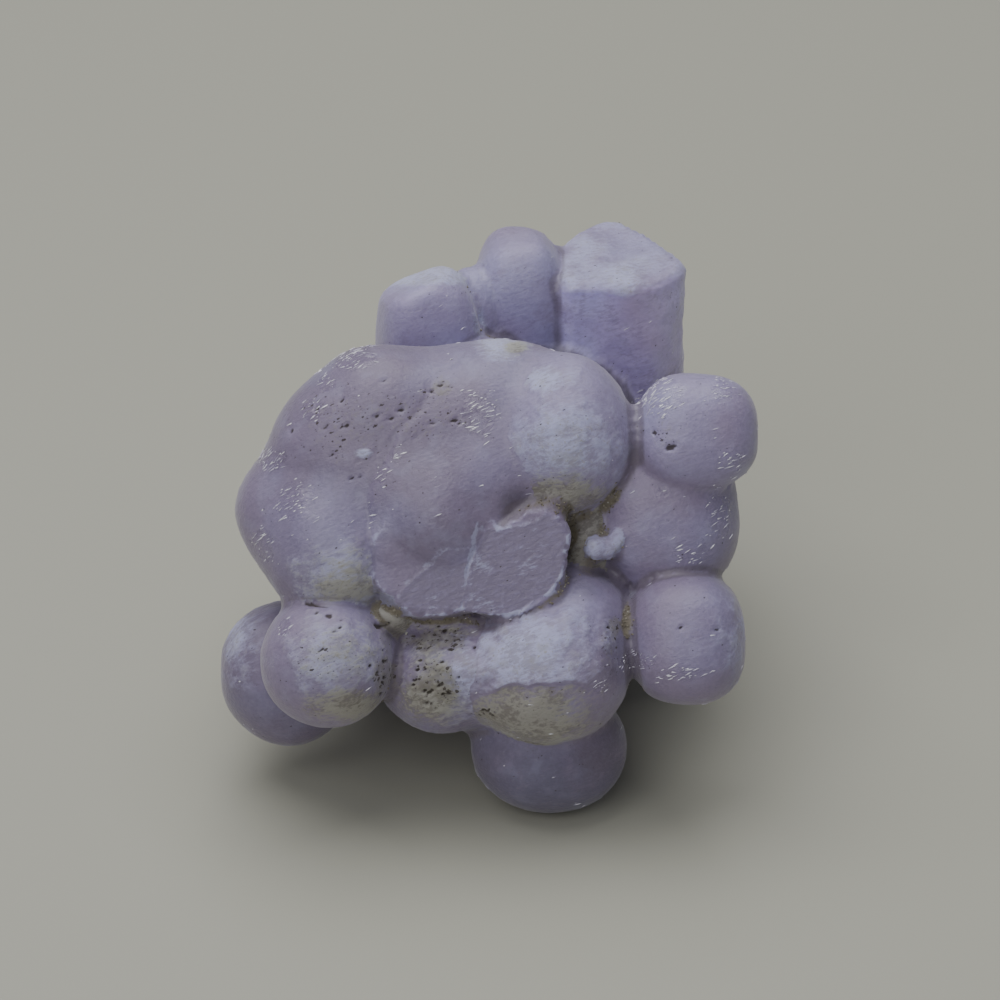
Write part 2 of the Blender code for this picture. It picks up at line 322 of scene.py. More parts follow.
# %% [markdown]
# ## A fine mesh on that skin
# The solid's own mesh is close to the skin but coarse. A copy of it, with a ball for each filling
# of a crevice, is divided into small even faces by a voxel remesh, and each of its points is then
# moved onto the skin. Where the stone shows most, the triangles are split once more, so that pits
# and ledges have enough points, and in the middle, round the break and the pitted grapes below
# it, once again.

# %% Even faces from the solid's copy
BASE_VOXEL = 0.36
FILLING_SHARE = 0.97  # a filling's ball starts a little inside its skin


def in_scene(name, data):
    """A new object, linked to the scene."""
    thing = bpy.data.objects.new(name, data)
    bpy.context.scene.collection.objects.link(thing)
    return thing


def mesh_of(name, shape):
    """A mesh from a shape that was made corner by corner."""
    mesh = bpy.data.meshes.new(name)
    shape.to_mesh(mesh)
    shape.free()
    return mesh


def points_of(mesh):
    flat = np.empty(len(mesh.vertices) * 3)
    mesh.vertices.foreach_get("co", flat)
    return flat.reshape(-1, 3) / MM


def even_copy(source, voxel):
    """The points and triangles of an evenly divided copy of an object."""
    solid = bmesh.new()
    solid.from_mesh(source.data)
    bmesh.ops.remove_doubles(solid, verts=solid.verts, dist=1e-7)
    for grape in FILLINGS:
        form = forms[grape.name]
        spread = Matrix((form.axes * form.radii * MM).tolist()).to_4x4()
        ball = Matrix.Translation(form.centre * MM) @ spread
        bmesh.ops.create_icosphere(solid, subdivisions=3, radius=FILLING_SHARE, matrix=ball)
    copy = in_scene("even_copy", mesh_of("even_copy", solid))
    divide = copy.modifiers.new("divide", "REMESH")
    divide.mode = "VOXEL"
    divide.voxel_size = voxel * MM
    view = bpy.context.evaluated_depsgraph_get()
    even = bpy.data.meshes.new_from_object(copy.evaluated_get(view))
    bpy.data.objects.remove(copy)
    even.calc_loop_triangles()
    triangles = np.empty(len(even.loop_triangles) * 3, int)
    even.loop_triangles.foreach_get("vertices", triangles)
    return points_of(even), triangles.reshape(-1, 3)


points, triangles = even_copy(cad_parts["grape_agate"], BASE_VOXEL)
print("even copy:", len(points), "points,", len(triangles), "triangles")


# %% Move points onto the skin
FIRST_MOVE, LAST_MOVE = 0.5, 0.3  # the furthest that a point goes at once
PULL = 0.5  # how far it goes towards the middle of its neighbours


def sides_of(triangles):
    """The two points of each side of each triangle."""
    return np.sort(triangles[:, [0, 1, 1, 2, 2, 0]].reshape(-1, 2), axis=1)


def edges_of(triangles):
    return np.unique(sides_of(triangles), axis=0)


def neighbour_mean(values, edges):
    """The mean of each point's neighbours."""
    total = np.zeros_like(values)
    count = np.zeros(len(values))
    for here, there in ((0, 1), (1, 0)):
        np.add.at(total, edges[:, here], values[edges[:, there]])
        np.add.at(count, edges[:, here], 1)
    return total / count[:, None]


def settle(points, triangles, rounds):
    """Evens out the points along the skin and moves them onto it."""
    edges = edges_of(triangles)
    for _ in range(rounds):
        gap, way = from_skin(points)
        points = points - np.clip(gap, -FIRST_MOVE, FIRST_MOVE)[:, None] * way
        pull = neighbour_mean(points, edges) - points
        pull -= (pull * way).sum(1)[:, None] * way
        points = points + PULL * pull
    for _ in range(2):
        gap, way = from_skin(points)
        points = points - np.clip(gap, -LAST_MOVE, LAST_MOVE)[:, None] * way
    return points, way


points, out_way = settle(points, triangles, 4)
print("furthest from the skin in mm:", round(float(np.abs(from_skin(points)[0]).max()), 3))


# %% Split triangles
def split(points, triangles, chosen):
    """Halves every edge between two chosen points."""
    edges, where = np.unique(sides_of(triangles), axis=0, return_inverse=True)
    where = where.reshape(-1, 3)
    halved = chosen[edges[:, 0]] & chosen[edges[:, 1]]
    middle = np.full(len(edges), -1)
    middle[halved] = len(points) + np.arange(halved.sum())
    points = np.concatenate([points, points[edges[halved]].mean(1)])
    mids = middle[where]
    count = (mids >= 0).sum(1)
    parts = [triangles[count == 0]]
    a, b, c = triangles[count == 3].T
    ab, bc, ca = mids[count == 3].T
    parts += [np.stack(three, 1) for three in ((a, ab, ca), (ab, b, bc), (ca, bc, c), (ab, bc, ca))]
    for side in range(3):
        only = (count == 1) & (mids[:, side] >= 0)
        a, b, c = np.roll(triangles[only], -side, axis=1).T
        ab = mids[only, side]
        parts += [np.stack(three, 1) for three in ((a, ab, c), (ab, b, c))]
    return points, np.concatenate(parts)


def front_facing(out_way):
    """1 where the skin faces out of the leaning face, and -1 where it faces back."""
    return -(out_way @ FACE_AXES)[:, 1]


# %% Split the front, and the middle once more
SHOWS, SHOWS_WELL = 0.15, 0.2  # how much the skin faces the front there
MIDDLE, MIDDLE_REACH = (-0.5, 16.0), (5.3, 5.2)  # an oval across and up the face

points, triangles = split(points, triangles, front_facing(out_way) > SHOWS)
points, out_way = settle(points, triangles, 2)
from_middle = np.hypot(*((on_face(points)[:, [0, 2]] - MIDDLE) / MIDDLE_REACH).T)
in_middle = (from_middle < 1.0) & (front_facing(out_way) > SHOWS_WELL)
points, triangles = split(points, triangles, in_middle)
points, out_way = settle(points, triangles, 1)
print("with the split:", len(points), "points,", len(triangles), "triangles")

# %% [markdown]
# ## What lies where
# Each point of the skin learns a few facts that the shape and the finish both need: which grape
# it is on, how deep it sits in a crease, and where it is on the leaning face. Facts that a
# material reads are kept on the mesh as attributes, so the finish is tied to the stone and not to
# the camera.

# %% Each point's own grape
swell = 1.0 + SWELL * waves(points, SWELL_LENGTH)
names = list(forms)
gaps = np.stack([from_grape(points, forms[name], swell)[0] for name in names])
petals = [names.index(grape.name) for grape in BROKEN]
gaps[petals] = np.maximum(gaps[petals], from_plane(points, *BREAK_PLANE)[0])
own = gaps.argmin(0)
seen = on_face(points)  # across, backwards and up
facing = front_facing(out_way)


def on_grapes(*chosen):
    """1 where a point belongs to one of these grapes, and 0 elsewhere."""
    return np.isin(own, [names.index(name) for name in chosen]).astype(float)


print("points on the broken petals:", int(np.isin(own, petals).sum()))

# %% Shelter, and softer creases
CLOSE, WIDE = 0.7, 2.2  # how far out of the skin the shelter is felt
CREASE_ROUNDS = 12


def sheltered(points, out_way, height):
    """1 where the stone closes in above a point, and 0 where the sky is open."""
    gap = from_skin(points + height * out_way)[0]
    return np.clip(1.0 - gap / height, 0.0, 1.0)


close_shelter = sheltered(points, out_way, CLOSE)
wide_shelter = sheltered(points, out_way, WIDE)
softened = PULL * np.clip(3 * close_shelter - 0.6, 0.0, 1.0)[:, None]
edges = edges_of(triangles)
for _ in range(CREASE_ROUNDS):
    points = points + softened * (neighbour_mean(points, edges) - points)
print("points in deep creases:", int((close_shelter > 0.5).sum()))


# %% Spots and lines on the leaning face
def smooth(values, low, high):
    """A smooth step from 0 at low to 1 at high."""
    share = np.clip((values - low) / (high - low), 0.0, 1.0)
    return share * share * (3 - 2 * share)


def spot(across, up, wide, high):
    """How far inside an oval a point is: 1 in the middle, 0 on its edge and less outside."""
    return 1.0 - np.hypot((seen[:, 0] - across) / wide, (seen[:, 2] - up) / high)


def spots(places):
    """The largest of several ovals."""
    return np.max([spot(*place) for place in places], axis=0)


def from_line(places):
    """Each point's distance on the face from a line through these places."""
    here = seen[:, [0, 2]]
    nearest = np.full(len(here), np.inf)
    for start, end in zip(places, places[1:]):
        start, along = np.array(start), np.array(end) - np.array(start)
        share = np.clip((here - start) @ along / (along @ along), 0.0, 1.0)
        nearest = np.minimum(nearest, np.linalg.norm(here - start - share[:, None] * along, axis=1))
    return nearest


def patch(ovals, where=None, strength=1.0):
    """Ovals on the face, which keep to a part of the stone where one is given."""
    here = spots(ovals) * strength
    return here if where is None else here + 2 * where - 2


# %% Front, back and noise
FRONT = smooth(facing, -0.05, 0.2)
AWAY = 1 - FRONT  # the sides and the back have patches of their own, where the noise is high
lumps = waves(points, 0.8)
small_lumps = waves(points, 0.33, 40.0)
broad = waves(points, 2.1, 80.0)
print("points that face the front:", int((FRONT > 0.5).sum()))

# %% [markdown]
# ## White rinds
# Where the stone weathered or where clay dried on it, its lilac skin has a thin white crust,
# thickest on the brow and on the bulging lower grapes. A rind is a set of ovals whose edges are
# broken up by noise. It stands a little proud of the skin, and the material makes it white and
# matt. One small oval on the back lobe's left edge is a painted highlight, laid on as a rind.

# %% The ledge where a rind ends
ragged = 0.28 * lumps + 0.16 * small_lumps + 0.2 * broad
low_right = on_grapes("low_right", "low_right_belly")
ledge_line = 12.3 - 0.05 * (seen[:, 0] - 3.1) ** 2 + 0.25 * lumps + 0.3 * broad
above_ledge = smooth(seen[:, 2] - ledge_line, -0.10, 0.15)
ledge = low_right * above_ledge
ledge *= smooth(spot(2.6, 13.4, 3.9, 2.9) + 0.2 * lumps, 0.05, 0.35)
print("points on the ledge:", int((ledge > 0.5).sum()))

# %% Place the rinds, and one painted highlight
brow, low_left, low_middle = on_grapes("brow"), on_grapes("low_left"), on_grapes("low_middle")
jaw = on_grapes("left_jaw", "left_cheek")
rind = np.maximum.reduce(
    [
        patch([(3.9, 24.2, 2.9, 2.55), (2.9, 27.6, 1.7, 0.8)], brow),
        patch([(0.7, 29.3, 1.6, 0.9)], on_grapes("crest", "crest_left"), 1.6),
        patch([(-6.3, 23.85, 0.6, 0.3)], strength=1.5),
        patch([(-7.2, 17.3, 2.8, 2.3)], jaw, 1.1),
        1.4 * on_grapes("pocket_crystal", "pocket_crystal_small") - 1,
        # painted highlight: a pale strip on the back lobe's left edge
        patch([(-0.55, 30.7, 0.4, 0.9)]),
        patch([(-13.2, 15.0, 1.4, 2.4), (13.2, 15.0, 1.3, 2.4)], strength=0.5),
        patch([(-7.6, 13.6, 2.7, 2.1)], low_left, 0.9),
        patch([(-1.6, 12.5, 2.7, 2.3)], on_grapes("low_middle", "low_middle_bump"), 0.9),
        patch([(2.0, 13.8, 4.3, 2.8)], low_right * above_ledge),
    ]
)
wild = waves(points, 4.0, 130.0)
rind = np.clip(rind + ragged, -1.0, 1.0) * FRONT + (2.1 * wild - 0.40 + 0.6 * ragged) * AWAY
on_column = smooth(gaps.min(0) - from_column(points)[0], -0.05, 0.25)
caps = on_column * smooth(points[:, 2], 20.2, 21.0) * (0.5 + 0.4 * broad)
caps = np.maximum(caps, on_grapes("stub") * smooth(seen[:, 2], 32.2, 32.9) * (0.9 + 0.4 * broad))
rind = np.maximum(rind, 1.6 * caps - 0.6)
crust = smooth(rind, -0.05, 0.25)
print("points under a rind:", int((rind > 0.25).sum()))

# %% Place the beige stains
stain = np.maximum.reduce(
    [
        patch([(3.7, 21.8, 3.0, 1.3)], brow),
        patch([(1.4, 29.2, 0.8, 0.5)], on_grapes("crest")),
        2.0 * on_grapes("clay_lens", "pocket_floor") + 1.2 * on_grapes("gap_shelf") - 1,
        patch([(-7.2, 13.9, 2.5, 1.8)], low_left, 0.35),
        patch([(-7.0, 17.8, 2.3, 1.9)], jaw, 0.45),
        patch([(-2.8, 12.9, 2.0, 1.8)], low_middle, 0.5),
        patch([(-7.2, 17.0, 2.4, 1.5)], on_grapes("left_jaw"), 0.8),
        patch([(-7.0, 11.2, 2.8, 1.1)], low_left),
        patch([(-2.9, 11.4, 2.0, 1.5)], low_middle),
        patch([(1.9, 10.4, 4.2, 2.7)], low_right * (1 - above_ledge)),
    ]
)
stain = np.clip(stain + 0.7 * ragged, -1.0, 1.0) * FRONT
stain += (-1.6 * wild - 0.8 + 0.6 * ragged) * AWAY
print("stained points:", int((stain > 0.25).sum()))

# %% [markdown]
# ## The broken face
# Two petals and a small one show where grapes broke off: flat, darker and purple, with fine
# fibres that run out to the rim, a pale rim and a white vein between the petals. Each point on
# the break learns its depth inside the rim and its direction from the middle of its petal.

# %% Where the break is
TOP_VEIN = ((-0.6, 20.1), (0.5, 20.05), (1.6, 20.2), (2.5, 20.55), (3.2, 21.2))
petal_gap = np.stack([from_grape(points, forms[grape.name], swell)[0] for grape in BROKEN])
petal_skin = gaps[petals].min(0)
whole_gap = gaps[[index for index in range(len(names)) if index not in petals]].min(0)
whole_gap = np.minimum(whole_gap, from_group(points, MERGED, swell, MERGE)[0])
on_petal = smooth(whole_gap - petal_skin, -0.05, 0.05) * FRONT
petal_left = np.interp(
    seen[:, 2],
    (15.5, 16.6, 17.4, 18.2, 19.0, 19.3, 19.8),
    (-5.0, -4.6, -3.9, -3.1, -2.2, -1.2, -0.7),
)
petal_top = np.interp(seen[:, 0], *zip(*TOP_VEIN))
opened = np.minimum(seen[:, 0] - petal_left, petal_top - seen[:, 2]) + 0.12 * lumps
broken = on_petal * smooth(facing, 0.6, 0.85) * smooth(opened, -0.10, 0.15)
print("points on the break:", int((broken > 0.5).sum()))

# %% Its rim and fibres
rim_depth = -petal_gap.min(0)
border = from_crusted(points, swell)[0] - petal_skin  # 0 where the petals meet the grapes below
rim = on_petal * smooth(np.minimum(rim_depth, border) + 0.04 * lumps, 0.30, 0.12)
rim *= 1.0 - 0.7 * smooth(seen[:, 2], 19.6, 20.4)
rim *= 1.0 - 0.6 * smooth(seen[:, 0], -4.4, -5.4)
PETALS_WITH_FIBRES = 3
own_petal = petal_gap[:PETALS_WITH_FIBRES].argmin(0)
middles = [on_face(forms[petal.name].centre) for petal in BROKEN[:PETALS_WITH_FIBRES]]
petal_middle = np.array(middles)[own_petal]
fibre_angle = np.arctan2(seen[:, 2] - petal_middle[:, 2], seen[:, 0] - petal_middle[:, 0])
print("points on its rim:", int((rim > 0.5).sum()))

# %% Its veins
MAIN_VEIN = ((-0.55, 20.3), (-0.75, 19.6), (-0.8, 18.9), (-1.05, 18.1), (-1.15, 17.2), (-1.4, 15.7))
CRESCENT = ((-4.6, 16.6), (-3.9, 17.4), (-3.1, 18.2), (-2.2, 19.0), (-1.0, 19.1))
wobble = 0.12 * lumps + 0.05 * small_lumps
main_vein = from_line(MAIN_VEIN) + wobble
vein = 0.8 * smooth(main_vein + 0.08 * broad, 0.22, 0.0)
vein = np.maximum(vein, 0.5 * smooth(from_line(TOP_VEIN) + 1.5 * wobble, 0.16, 0.02))
vein = np.maximum(vein, 0.5 * smooth(from_line(CRESCENT) + 2 * wobble, 0.35, 0.02)) * FRONT
print("points on the veins:", int((vein > 0.25).sum()))

# %% The step where the middle grapes overlap the left ones
SIDE_STEP = (  # from the top down
    (-1.5, 28.6), (-2.9, 27.4), (-3.2, 26.4), (-3.8, 25.5), (-4.6, 24.8), (-5.05, 23.5),
    (-5.7, 22.6), (-6.05, 21.8), (-5.95, 20.5), (-5.8, 19.2), (-5.5, 18.3),
)
side_step = smooth(from_line(SIDE_STEP) + 0.6 * wobble, 0.3, 0.03) * FRONT
step_across, step_up = np.array(SIDE_STEP[::-1]).T
beyond = seen[:, 0] - np.interp(seen[:, 2], step_up, step_across) + wobble
overlap = smooth(beyond, -0.12, 0.12) * smooth(beyond, 3.0, 0.1) * FRONT
overlap *= smooth(seen[:, 2], 18.0, 19.0) * smooth(seen[:, 2], 27.0, 24.5)
print("points on the step:", int((side_step > 0.5).sum()))

# %% [markdown]
# ## Pits, specks and sugary quartz
# Small dark pits dot the upper grapes and crowd together in a few places. Near the outline of
# most grapes the skin is sugary: tiny quartz crystals that glint. The larger pits are pressed
# into the mesh; the fine ones and the places of the crystals are kept as densities from 0 to 1.

# %% Places of pits, specks and glints
PITS = (  # across, up and radius
    (-8.65, 26.1, 0.13), (-7.4, 26.5, 0.12), (-8.15, 25.2, 0.14), (-7.15, 25.25, 0.11),
    (-5.6, 25.7, 0.15), (-4.85, 25.6, 0.16), (-4.35, 26.05, 0.13), (-10.0, 25.0, 0.10),
    (-7.8, 23.8, 0.10), (-6.5, 23.5, 0.13), (-6.9, 22.6, 0.10), (-6.4, 22.7, 0.09),
    (-1.65, 25.5, 0.15), (-1.4, 25.35, 0.12), (-2.8, 25.35, 0.12), (-3.65, 24.65, 0.11),
    (-5.15, 27.6, 0.13), (9.2, 24.15, 0.24), (9.0, 24.35, 0.13), (8.35, 24.9, 0.17),
    (7.5, 15.6, 0.13), (9.75, 15.1, 0.11), (11.55, 15.0, 0.11), (-7.75, 14.85, 0.15),
    (-7.4, 15.1, 0.14), (-8.3, 14.0, 0.11), (-1.4, 30.1, 0.14), (-8.6, 15.9, 0.16),
    (-8.0, 15.7, 0.17), (-7.3, 15.5, 0.14), (-2.4, 27.3, 0.15), (-2.8, 27.0, 0.14),
)
CROWDED_SPECKS = (  # across, up, half width, half height
    (-2.4, 27.2, 0.9, 0.8), (-5.2, 12.6, 0.9, 1.6), (-2.6, 14.4, 2.3, 0.9), (-2.6, 12.3, 1.8, 1.5),
    (6.4, 15.1, 0.5, 1.0), (-0.2, 10.6, 0.9, 0.4),
)
SPARSE_SPECKS = (
    (6.0, 13.9, 0.9, 2.0), (-7.0, 25.4, 4.0, 2.8), (-2.9, 25.7, 2.6, 2.2), (8.9, 24.8, 1.5, 1.2),
    (-8.0, 13.6, 2.5, 1.8),
)
# the crystals spread at these places are near white, partly painted glints
GLINT_SPOTS = (
    (-9.65, 21.4, 1.3, 1.3), (-11.5, 19.6, 0.7, 0.7), (-11.15, 18.75, 0.5, 0.5),
    (-10.9, 23.6, 1.1, 0.7), (-8.15, 27.4, 0.6, 0.6), (-8.8, 26.0, 0.7, 0.7),
    (-7.0, 28.7, 1.9, 0.8), (-0.4, 25.9, 1.4, 1.5), (-4.5, 23.8, 0.4, 0.7), (8.7, 26.7, 1.7, 1.3),
    (11.85, 27.1, 0.8, 0.6), (12.2, 23.5, 0.9, 0.8), (8.85, 21.9, 0.5, 0.4),
    (11.7, 20.7, 0.9, 1.6), (10.5, 18.9, 1.3, 0.7), (7.5, 13.4, 1.2, 0.5), (10.1, 12.7, 1.5, 0.5),
    (5.6, 12.1, 0.5, 0.5), (-10.25, 15.1, 0.5, 0.5), (-5.3, 22.8, 0.4, 0.9),
    (-5.8, 21.0, 0.35, 0.8),
)
print("pits:", len(PITS), " places for glints:", len(GLINT_SPOTS))

# %% A crowd of smaller pits
UPPER_GRAPES = 20  # above this height on the face the pits are finer and further apart
UPPER_CROWD, LOWER_CROWD = (5, 0.08), (9, 0.14)  # how many to the square and the largest radius
random = np.random.default_rng(5)
crowd = []
for across, up, wide, high in CROWDED_SPECKS:
    number, largest = UPPER_CROWD if up > UPPER_GRAPES else LOWER_CROWD
    for _ in range(round(number * wide * high)):
        turn, far = random.uniform(0, 2 * math.pi), 0.9 * math.sqrt(random.uniform())
        place = across + far * wide * math.cos(turn), up + far * high * math.sin(turn)
        crowd.append((*place, random.uniform(0.05, largest)))
print("pits in crowds:", len(crowd))

# %% Press the pits, longer along the growth streaks
STREAK_RISE = math.radians(22.0)  # pits, glints and growth streaks rise to the right on the face
pit = np.zeros(len(points))
tiny_lumps = waves(points, 0.2, 20.0)
for across, up, radius in PITS + tuple(crowd):
    to_right, to_top = seen[:, 0] - across, seen[:, 2] - up
    along = to_right * math.cos(STREAK_RISE) + to_top * math.sin(STREAK_RISE)
    athwart = to_top * math.cos(STREAK_RISE) - to_right * math.sin(STREAK_RISE)
    far = np.hypot(0.55 * along, athwart) + radius * (0.3 * small_lumps + 0.4 * tiny_lumps)
    pit = np.maximum(pit, smooth(far, 0.9 * radius, 0.2 * radius))
pit *= FRONT * (wide_shelter < 0.5) * (1.0 - on_petal)
print("points in pits:", int((pit > 0.5).sum()))

# %% Specks and glints
speck = smooth(spots(CROWDED_SPECKS) + 0.3 * lumps, -0.1, 0.6)
speck = np.maximum(speck, 0.62 * smooth(spots(SPARSE_SPECKS) + 0.4 * lumps, 0.0, 0.6)) * FRONT
speck *= 1.0 - on_petal
speck += 0.6 * smooth(waves(points, 3.0, 170.0), 0.2, 0.5) * AWAY
glint = smooth(spots(GLINT_SPOTS) + 0.3 * lumps + 0.2 * small_lumps, 0.0, 0.6) * FRONT
glint += 0.4 * smooth(waves(points, 2.5, 210.0) + 0.4 * small_lumps, 0.3, 0.7) * AWAY
glint = np.maximum(glint, 0.012 * smooth(0.5 - crust - broken, 0.0, 0.4))
print("points among specks:", int((speck > 0.5).sum()), " with glints:", int((glint > 0.5).sum()))

# %% Sand, cracks and the painted shadow under the petals
SAND_SPOTS = (
    (4.9, 20.2, 1.7, 2.2), (5.9, 21.6, 1.0, 0.9), (-2.6, 15.2, 2.2, 0.7), (-5.1, 15.9, 0.9, 0.7),
    (7.0, 15.3, 0.4, 0.9),
)
CRACK = ((-9.1, 16.3), (-8.2, 16.1), (-7.4, 15.7), (-6.4, 15.2), (-5.2, 15.1), (-4.6, 15.5))
sandy_place = smooth(spots(SAND_SPOTS) + 0.2 * lumps, -0.2, 0.5) * FRONT
sandy_place += 0.7 * smooth(waves(points, 5.0, 260.0) + 0.2 * lumps, 0.0, 0.35) * AWAY
sand = smooth(close_shelter + 0.2 * lumps, 0.15, 0.85) * sandy_place * (1.0 - on_petal)
crack_and_shade = smooth(from_line(CRACK) + 0.8 * wobble, 0.22, 0.03) * FRONT
crack_and_shade *= smooth(close_shelter, 0.1, 0.4)
# painted shadow: a dark line under the broken petals, along a real groove, joined to the cracks
shade_under_petals = smooth(np.abs(border + 0.06), 0.16, 0.03) * smooth(petal_skin, 0.35, 0.1)
crack_and_shade = np.maximum(crack_and_shade, shade_under_petals * FRONT * smooth(seen[:, 0] + 0.6 * broad, -2.0, -1.0))
print("points with sand:", int((sand > 0.5).sum()), " in cracks:", int((crack_and_shade > 0.5).sum()))

# %% [markdown]
# ## Fine relief
# The facts above now move the skin by small amounts: low lumps everywhere, the rind's thickness
# and its ledge, the pits and cracks, the step where grapes overlap, the vein's ridge and the rim.
# Nothing leaves the box of the solid, so the dressed stone keeps its size. A plain limit there
# would grind flat spots on the grapes, so the last quarter millimetre gives way softly instead.

# %% Add up the relief
LEDGE_RISE, OVERLAP_RISE, RIND_RISE, VEIN_RISE = 0.16, 0.11, 0.03, 0.05
PIT_DEPTH, CRACK_DEPTH, VEIN_SPLIT, SAND_DEPTH = 0.16, 0.15, 0.10, 0.10
relief = 0.018 * lumps * (1 - broken) + 0.010 * small_lumps + 0.03 * broad * (1 - broken)
relief += on_column * (0.12 * broad + 0.05 * lumps)
relief += crust * (RIND_RISE + 0.02 * small_lumps + 0.02 * lumps)
relief += LEDGE_RISE * ledge * FRONT
relief += 0.05 * small_lumps * low_middle * FRONT
relief -= PIT_DEPTH * pit
relief += OVERLAP_RISE * overlap - 0.04 * side_step - CRACK_DEPTH * crack_and_shade
relief += broken * (VEIN_RISE * vein - VEIN_SPLIT * smooth(main_vein, 0.08, 0.0) + 0.02 * rim)
relief -= SAND_DEPTH * sand * (0.5 + 0.5 * small_lumps)
points = points + relief[:, None] * out_way
print("relief in mm:", round(float(relief.min()), 2), "to", round(float(relief.max()), 2))

# %% Keep inside the solid's box
SOFT_EDGE = 0.25
low_box, high_box = np.array(cad_low) / MM, np.array(cad_high) / MM
middle = (low_box + high_box) / 2
reach = (high_box - low_box) / 2 - SOFT_EDGE
excess = np.abs(points - middle) - reach
eased = middle + np.sign(points - middle) * (reach + SOFT_EDGE * np.tanh(excess / SOFT_EDGE))
soft = excess > 0
soft[:, 2] &= points[:, 2] > middle[2]  # the underside stays flat
points = np.clip(np.where(soft, eased, points), low_box, high_box)
print("points near the box's sides:", int(soft.any(1).sum()))
print("most over in mm:", round(float(excess.max()), 2))

# %% [markdown]
# ## Each grape's own tone, with painted shade and light
# No two grapes are quite the same lilac. Each gets a tone by chance, from darker and pinker to
# lighter and bluer, and the ones that stand out in the photo get listed ones. Near a crease the
# tones of both grapes run into each other.

# %% Tones
# painted shade: the foot, far_left and low_middle are set darker because they sit in shade
GRAPE_TONES_AND_SHADE = {
    "right_middle": -0.3, "right_low": -0.5, "centre": -1.9, "dome": -1.7, "brow": 0.6,
    "right_high": 0.5, "low_right": 0.2, "stub": 1.4, "back_lobe": 0.8, "back_lobe_side": 0.8,
    "foot": -3.4, "far_left": -2.2, "low_middle": -1.6,
}
# painted light: the column's sides are much lighter than its top, where they face away from the
# light
COLUMN_SIDE_PAINTED_LIGHT, COLUMN_TOP_TONE = 5.5, 0.5
# painted shade: darker spots where grapes lie under the petals, the brow and a crease
PAINTED_SHADE_SPOTS = (
    (-2.6, 14.6, 2.3, 1.2), (5.2, 17.9, 2.4, 1.7), (1.7, 21.4, 1.5, 1.0), (6.3, 14.2, 0.9, 2.6),
)
PAINTED_SHADE_DEPTH = 2.4
TONE_BLEND = 0.35
random = np.random.default_rng(11)
tones = random.uniform(-1.0, 1.0, len(names))
tones[: len(MERGED)] = 0.3 * tones[: len(MERGED)] - 1.2
for name, grape_tone in GRAPE_TONES_AND_SHADE.items():
    tones[names.index(name)] = grape_tone
weights = np.exp(-np.clip(gaps - gaps.min(0), 0.0, 6.0) / TONE_BLEND)
tone_and_shading = (weights * tones[:, None]).sum(0) / weights.sum(0)
top_facing = smooth(out_way[:, 2], 0.5, 0.9)
# painted light on the column's sides, fading to the top's own tone where the skin faces up
column_painted_light = COLUMN_SIDE_PAINTED_LIGHT - (COLUMN_SIDE_PAINTED_LIGHT - COLUMN_TOP_TONE) * top_facing
tone_and_shading += on_column * (column_painted_light - tone_and_shading)
# painted shade under the overhangs
tone_and_shading -= PAINTED_SHADE_DEPTH * smooth(spots(PAINTED_SHADE_SPOTS) + 0.2 * lumps, -0.1, 0.7) * FRONT
print("tones:", round(float(tone_and_shading.min()), 1), "to", round(float(tone_and_shading.max()), 1))


# %% Close the mesh
def mesh_piece(name, points, triangles, facts):
    """A smooth mesh object from points in millimetres, with its facts as attributes."""
    mesh = bpy.data.meshes.new(name)
    mesh.vertices.add(len(points))
    mesh.vertices.foreach_set("co", (points * MM).ravel())
    mesh.loops.add(len(triangles) * 3)
    mesh.loops.foreach_set("vertex_index", triangles.ravel())
    mesh.polygons.add(len(triangles))
    mesh.polygons.foreach_set("loop_start", np.arange(0, len(triangles) * 3, 3))
    mesh.update(calc_edges=True)
    for fact, values in facts.items():
        kept = mesh.attributes.new(fact, "FLOAT", "POINT")
        kept.data.foreach_set("value", values.astype(np.float32))
    mesh.shade_smooth()
    return in_scene(name, mesh)


facts = {
    # white rinds, and one painted highlight
    "rind": rind,
    "stain": stain,
    "broken": broken,
    "rim": rim,
    "rim_depth": rim_depth,
    "fibre_angle": fibre_angle + 7.0 * own_petal,
    "vein": vein,
    # pits and cracks, and the painted shadow under the petals
    "pit": np.maximum(pit, 0.8 * crack_and_shade),
    "speck": speck,
    "glint": glint,
    "sand": sand,
    # each grape's tone, with painted shade and light
    "tone_and_shading": tone_and_shading,
    # painted shade: darker where the stone closes in over the skin, in the creases
    "crease_shade": smooth(close_shelter + 0.15 * lumps, 0.18, 0.80),
}
stone = mesh_piece("stone", points, triangles, facts)
print("stone:", len(stone.data.polygons), "triangles, valid:", not stone.data.validate())

# %% [markdown]
# ## Node helpers
# The materials are long chains of small nodes. These helpers add a node, set it up and plug it
# in, in one line each. Soft spots of a second colour are in every finish of the stone, so they
# are a group of nodes of their own, called mottle, which each material places with its own
# values.


# %% Add and fill nodes
def fill(tree, node, inputs):
    """Fills a node's inputs with numbers, colours or other nodes' outputs."""
    for name, value in inputs.items():
        if isinstance(value, bpy.types.NodeSocket):
            tree.links.new(value, node.inputs[name])
        else:
            node.inputs[name].default_value = value


def add(tree, kind, inputs=None, **settings):
    """Adds a node, sets it up and fills its inputs."""
    node = tree.nodes.new(kind)
    for name, value in settings.items():
        setattr(node, name, value)
    fill(tree, node, inputs or {})
    return node


def fact(tree, name):
    return add(tree, "ShaderNodeAttribute", attribute_name=name).outputs["Fac"]


def maths(tree, operation, one, other=0.0, third=0.0):
    inputs = {0: one, 1: other, 2: third}
    return add(tree, "ShaderNodeMath", inputs, operation=operation).outputs[0]


def plus(tree, value, part, share):
    """A value with a share of another one added to it."""
    return maths(tree, "MULTIPLY_ADD", part, share, value)


